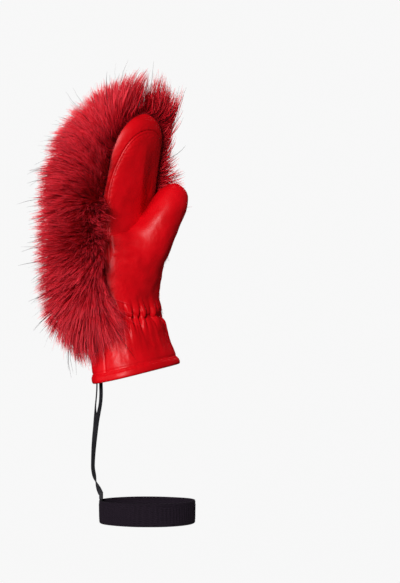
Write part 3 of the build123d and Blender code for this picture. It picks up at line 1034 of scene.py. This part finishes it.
def grow(name, count, seed, reach, width, steps, pull, material, stray=1.5, dark=0):
    """A share of the coat: curved, tapered hairs, each a flat ribbon, drawn together into tufts.

    A hair covers a share of its full length between the two of reach, in so many steps. Its tip strays at
    random. Hairs with dark 1 are short on the thumb's side, below the fingers.
    """
    rng = np.random.default_rng(seed)
    z, angle = scatter(count, rng)
    root, normal, full = hair_frame(z, angle, rng)
    count = len(root)
    (big_tree, big_tip), (small_tree, small_tip) = BIG_TUFTS, SMALL_TUFTS
    big, small = nearest(big_tree, root), nearest(small_tree, root)
    lean = rng.uniform(0.6, 1.0, (count, 1)) * pull
    full = full + lean * BIG_PULL * (big_tip[big] - full)
    full = full + lean * SMALL_PULL * (small_tip[small] - full)
    edge = edge_share(z, angle)[:, None]
    # shorter by the seams, and shorter still low on the thumb's side
    long = rng.uniform(*reach, (count, 1)) * (1 + 0.04 * np.sin(small * TUFT_TURN)[:, None])
    long = long * (1 - 0.6 * edge * rng.uniform(0, 1, (count, 1)))
    thumb_side = np.cos(angle)[:, None] > 0
    long = long * (1 - 0.45 * thumb_side * smoothstep(125, 80, z)[:, None] * edge)
    long = long * (1 - 0.75 * dark * thumb_side * smoothstep(200, 160, z)[:, None])
    tip = root + (full - root) * long
    tip = tip + rng.normal(0, stray, tip.shape)
    tip = np.where(np.abs(tip) > FAR, np.sign(tip) * (FAR + (np.abs(tip) - FAR) * 0.2), tip)
    length = np.linalg.norm(tip - root, axis=1, keepdims=True)
    wave = np.stack([noise_at(root + 40, 17, 1.0), noise_at(root, 17, 7.0), noise_at(root, 19, 3.0)], axis=1)
    tip = tip + wave * edge * 6
    # the curve leaves the root outward, to its middle control point, and ends at the tip
    rise = 0.5 - 0.3 * thumb_side * smoothstep(110, 70, z)[:, None]
    knee = root + normal * length * rise + (tip - root) * 0.12 + wave * (0.10 + 0.08 * edge) * length
    knee = knee + 0.05 * UP * length * smoothstep(40, 120, z)[:, None]
    t = (np.linspace(0, 1, steps + 1) ** 0.9)[None, :, None]
    line = (1 - t) ** 2 * root[:, None] + 2 * t * (1 - t) * knee[:, None] + t**2 * tip[:, None]
    flat = unit(np.cross(unit(np.gradient(line, axis=1)), rng.normal(0, 1, (count, 1, 3))))
    taper = np.interp(t, [0, 0.15, 0.75, 1], [0.7, 1, 0.85, 0.22])
    half = 0.5 * width * taper * rng.uniform(0.7, 1.2, (count, 1, 1))
    points = np.stack([line - flat * half, line + flat * half], axis=2)
    per = (steps + 1) * 2
    ring = np.arange(steps) * 2
    quad = np.stack([ring, ring + 1, ring + 3, ring + 2], axis=1)
    quads = (quad[None] + (np.arange(count) * per)[:, None, None]).reshape(-1, 4)
    obj = link_quads(name, points, quads, material)
    # a hair's shade goes across the UV map, and the way along it goes up
    shade = 0.56 + 0.18 * np.sin(small * 7.7) + 0.14 * np.sin(big * 3.1) + rng.normal(0, 0.16, count)
    # hairs by the seams are made lighter: painted light that makes up for the shade the crowded hairs cast on
    # each other there
    shade = np.clip(shade + (0.25 + 0.3 * np.sin(small * 4.4)) * edge[:, 0], 0.02, 0.98)
    along = np.broadcast_to(np.linspace(0.01, 0.99, steps + 1), (count, steps + 1))
    point_uv = np.stack([np.broadcast_to(shade[:, None], along.shape), along], axis=2)
    point_uv = np.repeat(point_uv[:, :, None], 2, axis=2).reshape(-1, 2)
    layer = obj.data.uv_layers.new(name=HAIR_UV)
    layer.data.foreach_set("uv", point_uv[quads.ravel()].astype(np.float32).ravel())
    blend_fingers(obj)


def fur():
    fur_backing()
    for i in range(3):
        grow(f"fur_top_coat_{i + 1}", 13500, SEED + i, (0.88, 1.03), 0.55, 5, 1.0, TOP_COAT)
    grow("fur_under_coat", 17000, SEED + 10, (0.42, 0.72), 0.6, 3, 0.7, UNDER_COAT)
    grow("fur_dark_tips", 3000, SEED + 20, (0.6, 1.04), 0.42, 5, 0.5, GUARD_HAIR, 3.0, 1)
    grow("fur_guard_hair", 520, SEED + 21, (1.04, 1.3), 0.5, 5, 0.1, GUARD_HAIR, 4.0, 1)


# ---- leash and wristband ----

RIBBON_THICK = 0.9
MERGE = -56.0  # below this height the two strands lie on each other
TWIST = -111.0  # and here they turn over together


def ribbon_strand(route, offset, turn, width):
    """A flat strand beside the route: its offset, the way it faces and its width change along it."""
    along = unit(np.gradient(route, axis=0))
    side = unit(RIGHT - along * (along @ RIGHT)[:, None])
    front = np.cross(side, along)
    middle = route + offset[:, :1] * side + offset[:, 1:] * front
    wide = np.cos(turn)[:, None] * side + np.sin(turn)[:, None] * front
    thin = np.cross(along, wide)
    angle = around(20)
    across = signed_power(np.cos(angle), 0.35) * 0.5
    through = signed_power(np.sin(angle), 0.6) * 0.5 * RIBBON_THICK
    return (middle[:, None] + (width[:, None] * across[None])[..., None] * wide[:, None]
            + through[None, :, None] * thin[:, None])


def leash():
    """One ribbon folded double: two flat strands, apart below the cuff, that join and turn over."""
    path = spline_points(RIBBON_PATH)
    route = path / MM
    z = route[:, 2]
    apart = smoothstep(MERGE, MERGE + 26, z) * (1 - 0.4 * smoothstep(-8, 8, z))
    bulge = bell(z + 27, 14.0)
    twist = 0.35 + 0.6 * smoothstep(-50, -95, z) + (np.pi - 1.3) * smoothstep(TWIST + 9, TWIST - 10, z)
    aside = np.stack([-2.6 * apart - 0.3, -0.5 + 0 * z], axis=1)
    first = ribbon_strand(route, aside, twist + 1.05 * apart, RIBBON_WIDTH - 0.8 - 1.4 * apart)
    aside = np.stack([0.9 * apart + 1.0 * bulge, 0.5 + 0 * z], axis=1)
    second = ribbon_strand(route, aside, twist + 0.35 * apart, RIBBON_WIDTH - 0.6 - 1.0 * apart)
    rows, columns = first.shape[:2]
    faces = [tube_faces(rows, columns, start, -1) for start in (0, rows * columns)]
    loops, totals = faces[0][0] + faces[1][0], faces[0][1] + faces[1][1]
    obj = link_mesh("leash", np.concatenate([first, second]).reshape(-1, 3), loops, totals, GROSGRAIN)
    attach(obj, "leash")
    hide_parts("leash_ribbon")


BAND_LENGTH, BAND_DEPTH, BAND_HEIGHT, BAND_WALL = 97.0, 46.0, 25.0, 2.2
BAND_TOP = -128.0
BAND_END = np.array([-30.5, 23.5, 0])
BAND_REACH, BAND_BACK = (BAND_LENGTH - BAND_WALL) / 2, (BAND_DEPTH - BAND_WALL) / 2
BAND_MIDDLE = BAND_END + RIGHT * BAND_REACH


def band_point(turn, z, out):
    """Points on the band's wall: long and narrow from above, with a folded crease at each end."""
    c, s = np.cos(turn), np.sin(turn)
    along = signed_power(c, 0.8) * (BAND_REACH + out) + signed_power(c, 12)
    back = signed_power(s, 1.2) * (BAND_BACK + out)
    return BAND_MIDDLE + along[..., None] * RIGHT - back[..., None] * TOWARD + z[..., None] * UP


def wristband():
    """Ribbed elastic, closed in a loop: ribs run round it, its edges are rolled, and it sags a little."""
    turn, section = around(400)[None, :], around(180)[:, None]
    c, s = np.cos(section), np.sin(section)
    up = signed_power(s, 0.22) * BAND_HEIGHT / 2
    out = signed_power(c, 0.5) * BAND_WALL / 2
    ribs = 0.16 * np.sin(up * 2 * np.pi / 1.7) * smoothstep(0.2, 0.6, np.abs(c))
    woven = 0.22 * np.sin(turn * 74 + 0.4 * np.sin(7 * turn))
    woven = woven * smoothstep(9.5, 7.5, np.abs(up)) * smoothstep(0.5, 0.9, c)
    wavy = 0.35 * np.sin(3 * turn + 0.6) + 0.25 * np.sin(5 * turn)
    z = BAND_TOP - BAND_HEIGHT / 2 - 0.4 + 0.945 * up + 0.5 * wavy - 0.4 * np.abs(np.sin(turn))
    lean = 0.03 * up * np.sin(2 * turn + 0.4)
    relief = ribs * np.sign(c) + woven
    out = out + relief + 0.4 * wavy * (1 - np.abs(np.cos(turn))) + lean
    points = band_point(turn + 0 * z, z, out)
    obj = grid_object("wristband_elastic", points, ELASTIC, round_columns=True, round_rows=True, flip=True)
    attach(obj, "wristband")
    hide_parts("wristband")


def soft_box(name, middle, directions, half, material):
    """A small stuffed or folded piece: a rounded box with softened corners and a sewn waist."""
    rows, columns, power = 40, 56, 0.5
    v = np.linspace(-np.pi / 2, np.pi / 2, rows)[:, None]
    u = around(columns)[None, :]
    level = signed_power(np.cos(v), power)
    height = signed_power(np.sin(v), power) + 0 * u
    stitch = 1 - 0.10 * bell(np.abs(height) - 0.72, 0.07)
    wide, deep = (level * signed_power(part, power) * stitch for part in (np.cos(u), np.sin(u)))
    shape = (wide, deep, height)
    points = middle + sum((h * part)[..., None] * d for h, part, d in zip(half, shape, directions))
    return link_quads(name, points, grid_faces(rows, columns, True), material)


def cad_box(node):
    """The lowest and the highest corner of a CAD piece's box, in millimetres."""
    return (np.array(corner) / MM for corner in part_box(node))


ANCHOR_WIDE = np.array([0.826, 0.563, 0])  # along the cuff's wall where the tab is sewn to it
ANCHOR_HALF = (4.5, 1.3, 7.8)


def sewn_tabs():
    """The folds of ribbon at the leash's ends: one round the band, and one sewn inside the cuff."""
    low, high = cad_box("band_join")
    middle = np.append((low + high)[:2], low[2] + RIBBON_PATH[-1][2]) / 2
    join = soft_box("band_join_fold", middle, (RIGHT, TOWARD, UP), (2.0, 2.9, 4.2), GROSGRAIN)
    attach(join, "wristband")
    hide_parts("band_join")

    start, after = np.array(RIBBON_PATH[0]), np.array(RIBBON_PATH[1])
    up = unit(start - after)
    wide = unit(ANCHOR_WIDE - up * (ANCHOR_WIDE @ up))
    middle = start + up * (1.0 + ANCHOR_HALF[2])
    tab = soft_box("anchor_tab_fold", middle, (wide, np.cross(up, wide), up), ANCHOR_HALF, GROSGRAIN)
    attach(tab, "hand")
    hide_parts("anchor_tab")


def keeper():
    """The keeper's textile loop and the flat oval hook that hangs in it, each with rounded edges."""
    turn, section = around(96)[None, :], around(28)[:, None]
    thick, wide = signed_power(np.cos(section), 0.6), signed_power(np.sin(section), 0.4) + 0 * turn

    low, high = cad_box("keeper_loop")
    size = high - low
    radius = size[2] / 2 - 0.32 + 0.3 * thick + 0.04 * np.sin(24 * turn)
    points = np.stack([radius * np.cos(turn), (size[1] / 2 - 0.1) * wide, radius * np.sin(turn)], axis=-1)
    loop = grid_object("keeper_loop_ribbon", (low + high) / 2 + points, GROSGRAIN, True, True)
    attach(loop, "hand")
    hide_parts("keeper_loop")

    low, high = cad_box("keeper_hook")
    size = high - low
    radius = size[1] / 2 - 0.62 + 0.56 * thick
    straight = np.sign(np.sin(turn + 1e-4)) * (size[2] - size[1]) / 2
    points = [(size[0] / 2 - 0.04) * wide, radius * np.cos(turn), radius * np.sin(turn) + straight]
    hook = grid_object("keeper_hook_oval", (low + high) / 2 + np.stack(points, axis=-1), PLASTIC, True, True)
    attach(hook, "keeper")
    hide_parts("keeper_hook")


# ---- studio ----

PAPER = 0.93


def studio():
    """A pale seamless bowl, far enough off that no shadow shows, and soft light from the viewer's left."""
    m = Nodes("paper")
    m.set(Base_Color=(0.02, 0.02, 0.02, 1), Roughness=1.0, Specular_IOR_Level=0.0)
    m.set(Emission_Color=(PAPER, PAPER, PAPER, 1), Emission_Strength=1.0)
    floor, radius, flat, rise = -900.0, 900.0, 3200.0, 6000.0
    arc = np.linspace(0, np.pi / 2, 24)[1:]
    profile = [(1.0, floor), (flat, floor)]
    profile += [(flat + radius * math.sin(a), floor + radius * (1 - math.cos(a))) for a in arc]
    profile.append((flat + radius, rise))
    points = np.array([[(r * math.cos(a), r * math.sin(a), z) for a in around(96)] for r, z in profile])
    bowl = grid_object("floor", points, m.material, round_columns=True)
    bowl.visible_diffuse = bowl.visible_glossy = bowl.visible_shadow = False
    world = bpy.data.worlds.new("world")
    world.use_nodes = True
    background = world.node_tree.nodes["Background"]
    background.inputs["Color"].default_value = (PAPER, PAPER, PAPER, 1)
    background.inputs["Strength"].default_value = 0.16
    scene.world = world
    world.cycles_visibility.glossy = False
    # to the viewer's right, up, toward the viewer, size, watts
    add_light("key", -350, 650, 1750, 450, 38)
    add_light("top", -200, 1700, -300, 900, 15, shine=False)
    add_light("side", -1500, 300, 500, 900, 9, shine=False)
    add_light("rim", 800, 900, -1500, 900, 26, shine=False)


leash()
cuff_leather()
hem()
side_leather()
finger_palm()
heel_and_thumb()
wrist_elastic()
inner_layers()
wristband()
sewn_tabs()
keeper()
tuft_rng = np.random.default_rng(SEED + 100)
BIG_TUFTS = tufts(600, tuft_rng)
SMALL_TUFTS = tufts(5200, tuft_rng)
fur()
studio()

bpy.context.view_layer.update()
